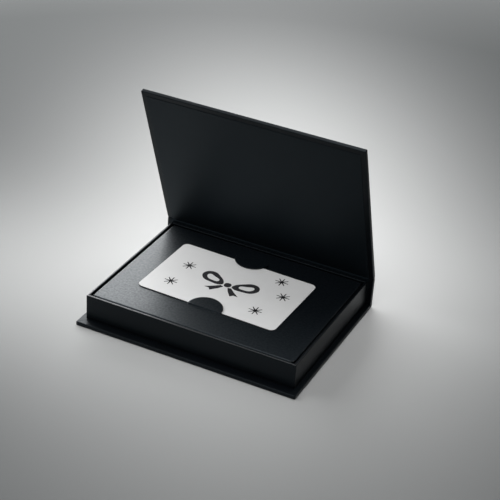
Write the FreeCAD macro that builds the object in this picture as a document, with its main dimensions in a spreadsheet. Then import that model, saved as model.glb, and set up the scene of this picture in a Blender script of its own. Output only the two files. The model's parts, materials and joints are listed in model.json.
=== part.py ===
"""Gift card holder: a book-style paperboard case with a tray, a platform, two half-moon tabs and a card.

The origin is at the bottom centre of the closed case. +X runs along the spine, +Y towards it and +Z up.
The lid is shown open, leaning forward over the tray, as its paper fold holds it.
"""
import FreeCAD
import Part
import Sketcher
import math
import os
import re

# The driving dimensions, in millimetres and degrees
SIZES = {
    # Case of three boards in one paper cover
    "case_width": 133.5,
    "case_depth": 104.5,
    "case_board": 2.0,
    "cover_paper": 0.2,
    "liner_paper": 0.2,
    "turn_in": 15.0,
    "liner_inset": 3.0,
    "fold_gap": 1.3,
    "liner_fold": 0.6,
    "edge_radius": 0.3,
    "lid_angle": 69.3,
    "lid_gap": 1.0,
    # Tray glued on the base
    "side_margin": 3.2,
    "front_margin": 5.5,
    "tray_height": 15.0,
    "tray_board": 1.0,
    "rim_turn_in": 10.0,
    "foot_turn_in": 12.0,
    "stay_paper": 0.1,
    "stay_width": 14.0,
    # Folded platform in the tray
    "insert_recess": 0.4,
    "insert_gap": 0.95,
    "insert_sheet": 0.3,
    "insert_fold": 0.8,
    "skirt_notch": 2.0,
    # Half-moon tabs
    "tab_radius": 10.4,
    "tab_slit": 0.15,
    "tab_step": 60.0,
    "tab_lift": 2.5,
    "tab_play": 0.05,
    "edge_play": 0.3,
    "rear_play": 3.65,
    # Card of the standard size
    "card_length": 85.6,
    "card_width": 53.98,
    "card_thick": 0.5,
    "card_corner": 3.18,
    "card_right": -2.35,
    "card_back": 2.1,
    "card_turn": -1.4,
    # Magnets of the closure
    "magnet_diameter": 8.0,
    "magnet_thick": 1.0,
    "magnet_distance": 90.0,
    "magnet_inset": 7.0,
    "magnet_play": 0.1,
    # Room by which a cutting outline passes the piece that it cuts
    "overrun": 1.0,
}

# Sizes that follow from the driving ones, each written once
DERIVED = {
    "panel": "case_board + 2 * cover_paper",
    "half_panel": "panel / 2",
    "half_case": "case_width / 2",
    "fold_y": "case_depth / 2 - half_panel",
    "reach": "case_depth - half_panel",
    "liner_start": "half_panel + 2 * liner_paper",
    "rim": "panel + tray_height",
    "hinge_z": "rim + lid_gap + liner_paper + half_panel",
    "lean": "90 - lid_angle",
    "tray_width": "case_width - 2 * side_margin",
    "tray_depth": "case_depth - panel - liner_paper - front_margin",
    "tray_y": "fold_y - half_panel - liner_paper - tray_depth / 2",
    "half_tray": "tray_width / 2",
    "half_deep": "tray_depth / 2",
    "board_out": "cover_paper + stay_paper",
    "board_in": "board_out + tray_board",
    "tray_wall": "board_in + cover_paper",
    "insert_foot": "cover_paper + tray_board",
    "insert_top": "tray_height - insert_recess",
    "half_insert": "half_tray - tray_wall - insert_gap",
    "half_insert_deep": "half_deep - tray_wall - insert_gap",
    "tab_under": "card_thick + tab_play",
    "tab_shift": "insert_sheet / sin(tab_step)",
    "tab_run": "tab_shift + tab_under / tan(tab_step)",
    "tab_reach": "card_width / 2 + tab_run + edge_play",
    "front_fold": "card_back - tab_reach",
    "rear_fold": "card_back + tab_reach + rear_play",
    "magnet_y": "tray_wall + magnet_inset - half_deep",
    "lid_magnet_y": "tray_y + magnet_y - fold_y",
}

TOLERANCE = 1e-4

document = FreeCAD.newDocument("gift_card_holder")
sheet = document.addObject("Spreadsheet::Sheet", "Sizes")


def fill_sheet():
    """Write every size into its own cell, under its own name."""
    texts = {name: repr(size) for name, size in SIZES.items()}
    texts.update({name: "=" + formula for name, formula in DERIVED.items()})
    for row, (name, text) in enumerate(texts.items(), start=1):
        sheet.set(f"A{row}", name)
        sheet.set(f"B{row}", text)
        sheet.setAlias(f"B{row}", name)
    document.recompute()


def linked(formula):
    """The formula with each size named as a cell of the sheet."""
    names = {**SIZES, **DERIVED}
    return re.sub(r"[a-z_]+", lambda word: "Sizes." + word[0] if word[0] in names else word[0], formula)


def size(formula):
    """The formula's present value."""
    return float(sheet.evalExpression(linked(formula)))


def bind(item, **formulas):
    """Bind properties to formulas. A double underscore in a name stands for a dot."""
    for name, formula in formulas.items():
        item.setExpression(name.replace("__", "."), linked(formula))


def place(item, x="0", y="0", z="0", turn=None, axis=(0, 0, 1)):
    """Place an item by formulas, turned about an axis through its own origin."""
    angle = size(turn) if turn else 0
    item.Placement = FreeCAD.Placement(FreeCAD.Vector(), FreeCAD.Rotation(FreeCAD.Vector(*axis), angle))
    bind(item, Placement__Base__x=x, Placement__Base__y=y, Placement__Base__z=z)
    if turn:
        bind(item, Placement__Rotation__Angle=turn)


def new_body(label):
    body = document.addObject("PartDesign::Body", label)
    body.Label = label
    return body


def new_sketch(body, plane="XY_Plane", level="0"):
    """An empty sketch on one of the body's own planes, lifted off it by a formula."""
    sketch = body.newObject("Sketcher::SketchObject", body.Name + "_sketch")
    support = next(item for item in body.Origin.OriginFeatures if item.Role == plane)
    sketch.AttachmentSupport = (support, [""])
    sketch.MapMode = "FlatFace"
    bind(sketch, AttachmentOffset__Base__z=level)
    document.recompute()
    return sketch


def pin(sketch, geometry, end, x, y):
    """Hold one point of a sketch at formulas along both axes."""
    for kind, axis, formula in (("DistanceX", -2, x), ("DistanceY", -1, y)):
        if formula == "0":
            sketch.addConstraint(Sketcher.Constraint("PointOnObject", geometry, end, axis))
            continue
        index = sketch.addConstraint(Sketcher.Constraint(kind, -1, 1, geometry, end, size(formula)))
        sketch.setExpression(f"Constraints[{index}]", linked(formula))


def outline(sketch, corners):
    """Draw a closed polygon whose corners are pairs of formulas."""
    points = [FreeCAD.Vector(size(x), size(y)) for x, y in corners]
    first = sketch.GeometryCount
    count = len(points)
    for index in range(count):
        sketch.addGeometry(Part.LineSegment(points[index], points[(index + 1) % count]))
    for index in range(count):
        after = first + (index + 1) % count
        sketch.addConstraint(Sketcher.Constraint("Coincident", first + index, 2, after, 1))
    for index, (x, y) in enumerate(corners):
        pin(sketch, first + index, 1, x, y)


def rectangle(sketch, left, right, low, high):
    outline(sketch, [(left, low), (right, low), (right, high), (left, high)])


def half_moon(sketch, radius, x="0", y="0", facing=1):
    """Draw a half disc whose straight side passes through a point and lies along X."""
    centre = FreeCAD.Vector(size(x), size(y))
    reach = FreeCAD.Vector(size(radius), 0)
    start = 0 if facing > 0 else math.pi
    circle = Part.Circle(centre, FreeCAD.Vector(0, 0, 1), size(radius))
    arc = sketch.addGeometry(Part.ArcOfCircle(circle, start, start + math.pi))
    chord = sketch.addGeometry(Part.LineSegment(centre - reach * facing, centre + reach * facing))
    sketch.addConstraint(Sketcher.Constraint("Coincident", arc, 2, chord, 1))
    sketch.addConstraint(Sketcher.Constraint("Coincident", arc, 1, chord, 2))
    sketch.addConstraint(Sketcher.Constraint("Horizontal", chord))
    sketch.addConstraint(Sketcher.Constraint("PointOnObject", arc, 3, chord))
    pin(sketch, arc, 3, x, y)
    index = sketch.addConstraint(Sketcher.Constraint("Radius", arc, size(radius)))
    sketch.setExpression(f"Constraints[{index}]", linked(radius))


def pad(body, sketch, length, both_ways=False):
    feature = body.newObject("PartDesign::Pad", body.Name + "_pad")
    feature.Profile = sketch
    feature.Midplane = both_ways
    bind(feature, Length=length)
    document.recompute()
    return feature


def pocket(body, sketch, depth, reverse=False, both_ways=False):
    """Cut a sketch into the body, and make sure that it takes material away."""
    before = body.Shape.Volume
    feature = body.newObject("PartDesign::Pocket", body.Name + "_pocket")
    feature.Profile = sketch
    feature.Reversed = reverse
    feature.Midplane = both_ways
    bind(feature, Length=depth)
    document.recompute()
    if not body.Shape.Volume < before - TOLERANCE:
        raise RuntimeError(f"{feature.Label} cuts nothing from {body.Label}")
    return feature


def edge_names(shape, chosen):
    """Names of the edges whose two ends both answer to a test."""
    return [
        f"Edge{index}"
        for index, edge in enumerate(shape.Edges, start=1)
        if all(chosen(vertex.Point) for vertex in edge.Vertexes)
    ]


def near(value, formula):
    return abs(value - size(formula)) < TOLERANCE


def fillet(body, chosen, radius):
    """Round the edges of the body that answer to a test."""
    base = body.Tip
    feature = body.newObject("PartDesign::Fillet", body.Name + "_fillet")
    feature.Base = (base, edge_names(base.Shape, chosen))
    bind(feature, Radius=radius)
    document.recompute()
    return feature


def shell(body, is_open, thickness):
    """Hollow the body to a sheet, open at the faces whose boxes answer to a test."""
    base = body.Tip
    faces = [
        f"Face{index}"
        for index, face in enumerate(base.Shape.Faces, start=1)
        if is_open(face.BoundBox)
    ]
    feature = body.newObject("PartDesign::Thickness", body.Name + "_shell")
    feature.Base = (base, faces)
    feature.Reversed = True
    bind(feature, Value=thickness)
    document.recompute()
    return feature


def slab(label, left, right, low, high, bottom, thickness):
    """A body that is one rectangular sheet or board."""
    body = new_body(label)
    sketch = new_sketch(body, level=bottom)
    rectangle(sketch, left, right, low, high)
    pad(body, sketch, thickness)
    return body


def place_on_base(body):
    """Panels of the base are drawn about the fold at the spine's foot."""
    place(body, y="fold_y", z="half_panel")


def place_on_lid(body):
    """Panels of the lid are drawn about the upper fold, as if closed, and turned open."""
    place(body, y="fold_y", z="hinge_z", turn="-lid_angle", axis=(1, 0, 0))


def place_on_tray(body):
    """Pieces of the tray are drawn about the middle of its underside."""
    place(body, y="tray_y", z="panel")


def case_panel_board(label):
    """Grey board of the base or the lid, from just short of its fold to the front."""
    return slab(
        label,
        "cover_paper - half_case",
        "half_case - cover_paper",
        "cover_paper - reach",
        "-fold_gap",
        "-case_board / 2",
        "case_board",
    )


def case_panel_wrap(label, start, inside_up):
    """Cover paper of the base or the lid: outer face, three edges and their turn-ins."""
    body = slab(label, "-half_case", "half_case", "-reach", "-" + start, "-half_panel", "panel")
    fillet(body, lambda end: near(abs(end.x), "half_case") or near(end.y, "-reach"), "edge_radius")
    hollow = new_sketch(body, level="-case_board / 2")
    rectangle(hollow, "cover_paper - half_case", "half_case - cover_paper", "cover_paper - reach", "0")
    pocket(body, hollow, "case_board", reverse=True)
    window = new_sketch(body, level="case_board / 2" if inside_up else "-half_panel")
    rectangle(window, "turn_in - half_case", "half_case - turn_in", "turn_in - reach", "0")
    pocket(body, window, "cover_paper", reverse=True)
    return body


def make_base():
    board = case_panel_board("base_board")
    wrap = case_panel_wrap("base_wrap", "half_panel", inside_up=True)
    for body in (board, wrap):
        place_on_base(body)
    return [board, wrap]


def make_spine_board():
    board = slab(
        "spine_board",
        "cover_paper - half_case",
        "half_case - cover_paper",
        "-case_board / 2",
        "case_board / 2",
        "half_panel + fold_gap",
        "hinge_z - half_panel - 2 * fold_gap",
    )
    place(board, y="fold_y")
    return board


def make_spine_wrap():
    """Cover paper of the spine, rounded at its foot and turned in at both ends."""
    body = slab(
        "spine_wrap", "-half_case", "half_case", "-half_panel", "half_panel", "0", "hinge_z - fold_gap"
    )
    fillet(body, lambda end: near(end.y, "half_panel") and near(end.z, "0"), "half_panel")
    shell(body, lambda box: near(box.ZMin, "hinge_z - fold_gap"), "cover_paper")
    window = new_sketch(body, "XZ_Plane", level="half_panel")
    outline(
        window,
        [
            ("cover_paper - half_case", "cover_paper"),
            ("half_case - cover_paper", "cover_paper"),
            ("half_case - cover_paper", "panel"),
            ("half_case - turn_in", "panel"),
            ("half_case - turn_in", "hinge_z"),
            ("turn_in - half_case", "hinge_z"),
            ("turn_in - half_case", "panel"),
            ("cover_paper - half_case", "panel"),
        ],
    )
    pocket(body, window, "cover_paper")
    place(body, y="fold_y")
    return body


def make_spine_liner():
    body = slab(
        "spine_liner",
        "liner_inset - half_case",
        "half_case - liner_inset",
        "-half_panel - liner_paper",
        "-half_panel",
        "panel",
        "hinge_z - liner_start - panel",
    )
    place(body, y="fold_y")
    return body


def fold_strip(label, half_width, inside, paper, lower_arm, upper_arm):
    """Paper bent about X by the lid's lean: a straight arm, the bend and a second straight arm."""
    body = new_body(label)
    section = new_sketch(body)
    rectangle(section, "-" + half_width, half_width, inside, f"{inside} + {paper}")
    foot = pad(body, section, lower_arm)
    foot.Reversed = True
    bend = body.newObject("PartDesign::Revolution", label + "_bend")
    bend.Profile = section
    axis = next(item for item in body.Origin.OriginFeatures if item.Role == "X_Axis")
    bend.ReferenceAxis = (axis, [""])
    bind(bend, Angle="lean")
    document.recompute()
    turned = math.radians(size("lean"))
    normal = FreeCAD.Vector(0, -math.sin(turned), math.cos(turned))
    ends = [
        f"Face{index}"
        for index, face in enumerate(bend.Shape.Faces, start=1)
        if face.normalAt(0, 0).isEqual(normal, TOLERANCE)
    ]
    arm = body.newObject("PartDesign::Pad", label + "_arm")
    arm.Profile = (bend, ends)
    bind(arm, Length=upper_arm)
    document.recompute()
    return body


def make_hinge():
    """The two papers that the lid turns on: the cover outside and the liner inside."""
    wrap = fold_strip("hinge_wrap", "half_case", "half_panel - cover_paper", "cover_paper", "fold_gap", "fold_gap")
    place(wrap, y="fold_y", z="hinge_z")
    set_back = "(half_panel + liner_paper + liner_fold)"
    drop = "(half_panel + liner_paper + liner_fold) * tan(lean / 2)"
    arm = "liner_start - " + drop
    liner = fold_strip("hinge_liner", "(half_case - liner_inset)", "liner_fold", "liner_paper", arm, arm)
    place(liner, y="fold_y - " + set_back, z="hinge_z - " + drop)
    return [wrap, liner]


def make_lid_board():
    """Grey board of the lid, with two blind seats for its magnets in the inner face."""
    body = case_panel_board("lid_board")
    for side in ("-", ""):
        seat = new_sketch(body, level="-case_board / 2")
        radius = "magnet_diameter / 2 + magnet_play"
        circle = seat.addGeometry(
            Part.Circle(FreeCAD.Vector(), FreeCAD.Vector(0, 0, 1), size(radius))
        )
        pin(seat, circle, 3, side + "magnet_distance / 2", "lid_magnet_y")
        index = seat.addConstraint(Sketcher.Constraint("Radius", circle, size(radius)))
        seat.setExpression(f"Constraints[{index}]", linked(radius))
        pocket(body, seat, "magnet_thick", reverse=True)
    return body


def make_lid():
    board = make_lid_board()
    wrap = case_panel_wrap("lid_wrap", "fold_gap", inside_up=False)
    liner = slab(
        "lid_liner",
        "liner_inset - half_case",
        "half_case - liner_inset",
        "liner_inset - reach",
        "-liner_start",
        "-half_panel - liner_paper",
        "liner_paper",
    )
    magnets = magnet_pair("lid_magnets", "lid_magnet_y", "-case_board / 2")
    for body in (board, wrap, liner, magnets):
        place_on_lid(body)
    return [board, wrap, liner, magnets]


def magnet_pair(label, y, bottom):
    """Two equal discs, one at each side."""
    discs = []
    for name, side in (("left", "-"), ("right", "")):
        disc = document.addObject("Part::Cylinder", f"{label}_{name}")
        bind(disc, Radius="magnet_diameter / 2", Height="magnet_thick")
        place(disc, x=side + "magnet_distance / 2", y=y, z=bottom)
        discs.append(disc)
    pair = document.addObject("Part::Compound", label)
    pair.Label = label
    pair.Links = discs
    return pair


def make_tray_boards():
    """Five boards: the front and rear run through, the sides and floor fit between."""
    top = "tray_height - 2 * cover_paper"
    across = ("board_out - half_tray", "half_tray - board_out")
    between_sides = ("board_in - half_tray", "half_tray - board_in")
    between_ends = ("board_in - half_deep", "half_deep - board_in")
    boards = [
        slab("tray_front_board", *across, "board_out - half_deep", "board_in - half_deep", "cover_paper", top),
        slab("tray_rear_board", *across, "half_deep - board_in", "half_deep - board_out", "cover_paper", top),
        slab("tray_left_board", "board_out - half_tray", "board_in - half_tray", *between_ends, "cover_paper", top),
        slab("tray_right_board", "half_tray - board_in", "half_tray - board_out", *between_ends, "cover_paper", top),
        slab("tray_floor_board", *between_sides, *between_ends, "cover_paper", "tray_board"),
    ]
    for board in boards:
        place_on_tray(board)
    return boards


def make_corner_stays():
    """Four paper angles round the tray's upright corners, under its cover."""
    stay = new_body("corner_stay")
    sketch = new_sketch(stay, level="cover_paper")
    outer = ("half_tray - cover_paper", "half_deep - cover_paper")
    inner = ("half_tray - board_out", "half_deep - board_out")
    ends = ("half_tray - cover_paper - stay_width / 2", "half_deep - cover_paper - stay_width / 2")
    outline(
        sketch,
        [
            (ends[0], outer[1]),
            (ends[0], inner[1]),
            (inner[0], inner[1]),
            (inner[0], ends[1]),
            (outer[0], ends[1]),
            (outer[0], outer[1]),
        ],
    )
    pad(stay, sketch, "tray_height - 2 * cover_paper")
    right = mirrored_pair("right_stays", stay, (0, 1, 0))
    stays = mirrored_pair("corner_stays", right, (1, 0, 0))
    place_on_tray(stays)
    return stays


def mirrored_pair(label, item, normal):
    """An item together with its mirror image."""
    image = document.addObject("Part::Mirroring", label + "_image")
    image.Source = item
    image.Normal = FreeCAD.Vector(*normal)
    pair = document.addObject("Part::Compound", label)
    pair.Label = label
    pair.Links = [item, image]
    return pair


def make_tray_wrap():
    """Cover paper of the tray: outside, over the rim, down inside and under the floor."""
    body = slab("tray_wrap", "-half_tray", "half_tray", "-half_deep", "half_deep", "0", "tray_height")
    fillet(body, lambda end: not near(end.z, "0"), "edge_radius")
    inside = new_sketch(body, level="cover_paper")
    rectangle(
        inside, "tray_wall - half_tray", "half_tray - tray_wall", "tray_wall - half_deep", "half_deep - tray_wall"
    )
    pocket(body, inside, "tray_height", reverse=True)
    under_hem = new_sketch(body, level="cover_paper")
    rectangle(
        under_hem, "board_in - half_tray", "half_tray - board_in", "board_in - half_deep", "half_deep - board_in"
    )
    pocket(body, under_hem, "tray_height - cover_paper - rim_turn_in", reverse=True)
    walls = new_sketch(body, level="cover_paper")
    rectangle(
        walls,
        "cover_paper - half_tray",
        "half_tray - cover_paper",
        "cover_paper - half_deep",
        "half_deep - cover_paper",
    )
    rectangle(
        walls, "board_in - half_tray", "half_tray - board_in", "board_in - half_deep", "half_deep - board_in"
    )
    pocket(body, walls, "tray_height - 2 * cover_paper", reverse=True)
    window = new_sketch(body)
    rectangle(
        window,
        "foot_turn_in - half_tray",
        "half_tray - foot_turn_in",
        "foot_turn_in - half_deep",
        "half_deep - foot_turn_in",
    )
    pocket(body, window, "cover_paper", reverse=True)
    place_on_tray(body)
    return body


def make_insert():
    """Folded platform: a top with two half-moon openings and four skirts, parted at the corners."""
    body = slab(
        "insert_platform",
        "-half_insert",
        "half_insert",
        "-half_insert_deep",
        "half_insert_deep",
        "insert_foot",
        "insert_top - insert_foot",
    )
    fillet(body, lambda end: near(end.z, "insert_top"), "insert_fold")
    shell(body, lambda box: near(box.ZMax, "insert_foot"), "insert_sheet")
    openings = new_sketch(body, level="insert_top")
    half_moon(openings, "tab_radius + tab_slit", "card_right", "front_fold", facing=1)
    half_moon(openings, "tab_radius + tab_slit", "card_right", "rear_fold", facing=-1)
    pocket(body, openings, "insert_sheet")
    notches = new_sketch(body, level="insert_foot")
    for x_side in ("", "-"):
        for y_side in ("", "-"):
            outline(
                notches,
                [
                    (f"{x_side}(half_insert - skirt_notch)", f"{y_side}(half_insert_deep - skirt_notch)"),
                    (f"{x_side}half_tray", f"{y_side}(half_insert_deep - skirt_notch)"),
                    (f"{x_side}half_tray", f"{y_side}half_deep"),
                    (f"{x_side}(half_insert - skirt_notch)", f"{y_side}half_deep"),
                ],
            )
    pocket(body, notches, "insert_top - insert_foot - insert_fold", reverse=True)
    place_on_tray(body)
    return body


def make_tab(label, fold, turn=None):
    """Half-moon tab drawn from the middle of its uncut side: it steps up and over the card's edge."""
    body = new_body(label)
    profile = new_sketch(body, "YZ_Plane")
    step = "tan(tab_step)"
    slope = "tan(tab_lift)"
    rise = "insert_sheet / cos(tab_lift)"
    over_y = f"((tab_under + {rise} - tab_run * {slope}) / ({step} - {slope}))"
    tip = "(tab_radius + overrun)"
    outline(
        profile,
        [
            ("0", "-insert_sheet"),
            ("0", "0"),
            (over_y, f"{over_y} * {step}"),
            (tip, f"tab_under + {rise} + ({tip} - tab_run) * {slope}"),
            (tip, f"tab_under + ({tip} - tab_run) * {slope}"),
            ("tab_run", "tab_under"),
            (f"tab_shift - insert_sheet / {step}", "-insert_sheet"),
        ],
    )
    pad(body, profile, "2 * tab_radius + overrun", both_ways=True)
    trim = new_sketch(body, level="-insert_sheet - overrun")
    beyond = "(tab_radius + 2 * overrun)"
    rectangle(trim, "-" + beyond, beyond, "-overrun", beyond)
    half_moon(trim, "tab_radius")
    pocket(body, trim, "tab_radius", reverse=True)
    place(body, "card_right", "tray_y + " + fold, "panel + insert_top", turn)
    return body


def make_card():
    body = slab(
        "gift_card",
        "-card_length / 2",
        "card_length / 2",
        "-card_width / 2",
        "card_width / 2",
        "0",
        "card_thick",
    )
    base = body.Tip
    upright = [
        f"Edge{index}"
        for index, edge in enumerate(base.Shape.Edges, start=1)
        if abs(edge.tangentAt(edge.FirstParameter).z) > 1 - TOLERANCE
    ]
    corners = body.newObject("PartDesign::Fillet", "gift_card_corners")
    corners.Base = (base, upright)
    bind(corners, Radius="card_corner")
    document.recompute()
    place(body, "card_right", "tray_y + card_back", "panel + insert_top", "card_turn")
    return body


def make_tray_magnets():
    """Discs glued under the platform, where the lid's discs come to rest."""
    pair = magnet_pair("tray_magnets", "magnet_y", "insert_top - insert_sheet - magnet_thick")
    place_on_tray(pair)
    return pair


def export(nodes):
    """Check every item of the document, then write each node's solids."""
    document.recompute()
    for item in document.Objects:
        if "Invalid" in item.State or "Error" in item.State:
            raise RuntimeError(f"{item.Label} failed: {item.State}")
    for node in nodes:
        if node.Shape.isNull() or not node.Shape.isValid():
            raise RuntimeError(f"{node.Label} has no valid shape")
    os.makedirs("parts", exist_ok=True)
    for node in nodes:
        node.Shape.exportStep(f"parts/{node.Label}.step")
        print(node.Label, len(node.Shape.Solids), round(node.Shape.Volume, 2))


fill_sheet()
export(
    [
        *make_base(),
        make_spine_board(),
        make_spine_wrap(),
        make_spine_liner(),
        *make_hinge(),
        *make_lid(),
        *make_tray_boards(),
        make_corner_stays(),
        make_tray_wrap(),
        make_insert(),
        make_tab("front_tab", "front_fold"),
        make_tab("rear_tab", "rear_fold", turn="180"),
        make_card(),
        make_tray_magnets(),
    ]
)
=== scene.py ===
import json
import math
from functools import cache

import bmesh
import bpy
from bpy.props import FloatProperty, FloatVectorProperty, IntProperty, PointerProperty
from mathutils import Matrix, Vector
from mathutils.geometry import delaunay_2d_cdt
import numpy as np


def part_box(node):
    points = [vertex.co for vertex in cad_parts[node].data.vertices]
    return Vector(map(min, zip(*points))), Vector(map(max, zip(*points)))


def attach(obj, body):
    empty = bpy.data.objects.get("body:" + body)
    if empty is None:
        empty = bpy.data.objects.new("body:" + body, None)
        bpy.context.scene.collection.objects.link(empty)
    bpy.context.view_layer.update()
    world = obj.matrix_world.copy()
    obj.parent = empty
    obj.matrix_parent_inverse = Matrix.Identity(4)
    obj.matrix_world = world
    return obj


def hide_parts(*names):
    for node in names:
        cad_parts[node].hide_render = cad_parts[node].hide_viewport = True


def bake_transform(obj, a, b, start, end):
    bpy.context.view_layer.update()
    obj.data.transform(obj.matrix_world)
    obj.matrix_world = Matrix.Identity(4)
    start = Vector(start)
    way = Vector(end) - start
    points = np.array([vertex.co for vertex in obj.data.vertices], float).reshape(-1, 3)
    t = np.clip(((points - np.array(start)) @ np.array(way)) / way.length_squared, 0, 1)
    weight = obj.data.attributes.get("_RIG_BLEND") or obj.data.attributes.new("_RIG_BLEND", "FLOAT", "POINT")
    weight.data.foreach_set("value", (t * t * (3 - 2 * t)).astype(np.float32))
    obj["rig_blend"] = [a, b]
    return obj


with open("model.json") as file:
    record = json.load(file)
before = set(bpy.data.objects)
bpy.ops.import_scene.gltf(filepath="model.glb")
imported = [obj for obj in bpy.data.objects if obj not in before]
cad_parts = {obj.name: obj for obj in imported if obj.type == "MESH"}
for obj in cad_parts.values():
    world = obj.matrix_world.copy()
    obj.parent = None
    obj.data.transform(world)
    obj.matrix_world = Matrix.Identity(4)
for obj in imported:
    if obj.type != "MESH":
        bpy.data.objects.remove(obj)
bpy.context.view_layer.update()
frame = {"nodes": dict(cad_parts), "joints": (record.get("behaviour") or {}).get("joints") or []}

bl_info = {
    "name": "Gift Card Holder",
    "version": (1, 0, 0),
    "blender": (4, 5, 0),
    "location": "View3D > Sidebar > Gift Card Holder",
    "description": "Dresses a hinged presentation case, its platform and its card",
    "category": "Add Mesh",
}

# Units, fineness of the meshes and directions in a panel's plane
MM = 0.001
MERGE = 0.002 * MM
QUARTER = math.pi / 2
EDGE_STEPS = 2
BEND_STEPS = 4
ARC_STEPS = 24
ROUND_STEPS = 2 * BEND_STEPS
HINGE_STEPS = 4 * BEND_STEPS
SHARP_ANGLE = math.radians(35)
LEFT = Vector((-1, 0))
FAR = Vector((0, 1))
RIGHT = Vector((1, 0))
NEAR = Vector((0, -1))

# Largest share of a board's half thickness that the rounding of its edge takes
ROUND_LIMIT_SHARE = 0.9
# Length of a tab's finely divided part, as a share of the step in it
FINE_REACH_SHARE = 1.4
# A face of the card that looks up or down less than this is part of the cut edge
EDGE_FACING = 0.7


def joint(name):
    """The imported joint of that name."""
    return next(item for item in frame["joints"] if item["name"] == name)


def axes(origin, along, inward):
    """Matrix whose axes are X, a panel's own length and the side that its lining is on."""
    columns = Matrix((Vector((1, 0, 0)), along, inward)).transposed()
    return Matrix.Translation(origin) @ columns.to_4x4()


def local_box(node, place=Matrix.Identity(4)):
    """Lowest and highest corner of a CAD node in the axes that a matrix gives."""
    back = place.inverted()
    points = [back @ vertex.co for vertex in frame["nodes"][node].data.vertices]
    low = Vector([min(point[i] for point in points) for i in range(3)])
    high = Vector([max(point[i] for point in points) for i in range(3)])
    return low, high


# Where the panels and the card lie, read from the frame
HINGE = Vector(joint("lid_hinge")["pos_m"])
LID_OPEN = math.radians(-joint("lid_hinge")["range_deg"][0])
LEAN = QUARTER - LID_OPEN
LID_ALONG = Vector((0, -math.cos(LID_OPEN), math.sin(LID_OPEN)))
LID_INWARD = Vector((0, -math.sin(LID_OPEN), -math.cos(LID_OPEN)))
LID = axes(HINGE, LID_ALONG, LID_INWARD)
BASE = axes(Vector((0, 0, 0)), Vector((0, -1, 0)), Vector((0, 0, 1)))
CARD_LOW, CARD_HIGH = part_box("gift_card")
SLIDE = Vector(joint("card_slide")["axis"])
CARD_TURN = math.atan2(SLIDE.y, SLIDE.x)
CARD_MIDDLE = Vector(((CARD_LOW.x + CARD_HIGH.x) / 2, (CARD_LOW.y + CARD_HIGH.y) / 2, CARD_LOW.z))
CARD = Matrix.Translation(CARD_MIDDLE) @ Matrix.Rotation(CARD_TURN, 4, "Z")


# Values that a user may change
def size_value(label, text, millimetres):
    """A length, given in millimetres."""
    return FloatProperty(name=label, description=text, default=millimetres * MM, unit="LENGTH")


def share_value(label, text, share):
    """A share between none and all."""
    return FloatProperty(name=label, description=text, default=share, min=0, max=1, subtype="FACTOR")


def colour_value(label, text, colour):
    """A colour in linear light."""
    return FloatVectorProperty(name=label, description=text, default=colour, min=0, max=1, subtype="COLOR")


def power_value(label, text, watts):
    """The power of a lamp."""
    return FloatProperty(name=label, description=text, default=watts, min=0, unit="POWER")


class HolderSizes(bpy.types.PropertyGroup):
    """Sizes of folds, seams and soft edges."""

    paper: size_value("Cover paper", "Thickness of the cover and lining papers", 0.2)
    edge_round: size_value("Edge rounding", "Radius of the paper round a board's edge", 0.45)
    corner_round: size_value("Corner rounding", "Radius of a wrapped corner seen from above", 0.6)
    turn_in: size_value("Turn-in", "Width of the paper turned in over a board's edge", 15)
    mitre_gap: size_value("Mitre width", "Half the width of the seam across a turned-in corner", 0.22)
    mitre_depth: size_value("Mitre depth", "How far the seam across a turned-in corner sinks", 0.12)
    groove: size_value("Hinge groove", "How far each paper sinks between the spine and the lid", 0.35)
    lining_edge: size_value("Lining edge", "Softness of a lining paper's cut edge", 0.05)
    tray_wall: size_value("Tray wall", "Thickness of the tray's wrapped wall", 1.5)
    rim_turn_in: size_value("Rim turn-in", "Depth of the paper turned down inside the tray", 10)
    foot_turn_in: size_value("Foot turn-in", "Width of the paper turned in under the tray", 12)
    insert_sheet: size_value("Platform sheet", "Thickness of the platform's card", 0.3)
    insert_fold: size_value("Platform fold", "Outer radius of the platform's folded edges", 0.8)
    insert_notch: size_value("Corner notch", "Gap between two skirts at the platform's corner", 2)
    tab_slit: size_value("Tab slit", "Width of the cut round a holding tab", 0.15)
    tab_step: size_value("Tab step", "Length over which a tab climbs past the card's edge", 0.6)
    tab_lift: FloatProperty(
        name="Tab lift", description="Slope of a holding tab over the card",
        default=math.radians(2.5), subtype="ANGLE")
    card_length: size_value("Card length", "Long side of the card", 85.6)
    card_width: size_value("Card width", "Short side of the card", 53.98)
    card_corner: size_value("Card corner", "Corner radius of the card", 3.18)
    card_edge: size_value("Card edge", "Softness of the card's cut edge", 0.09)


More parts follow.
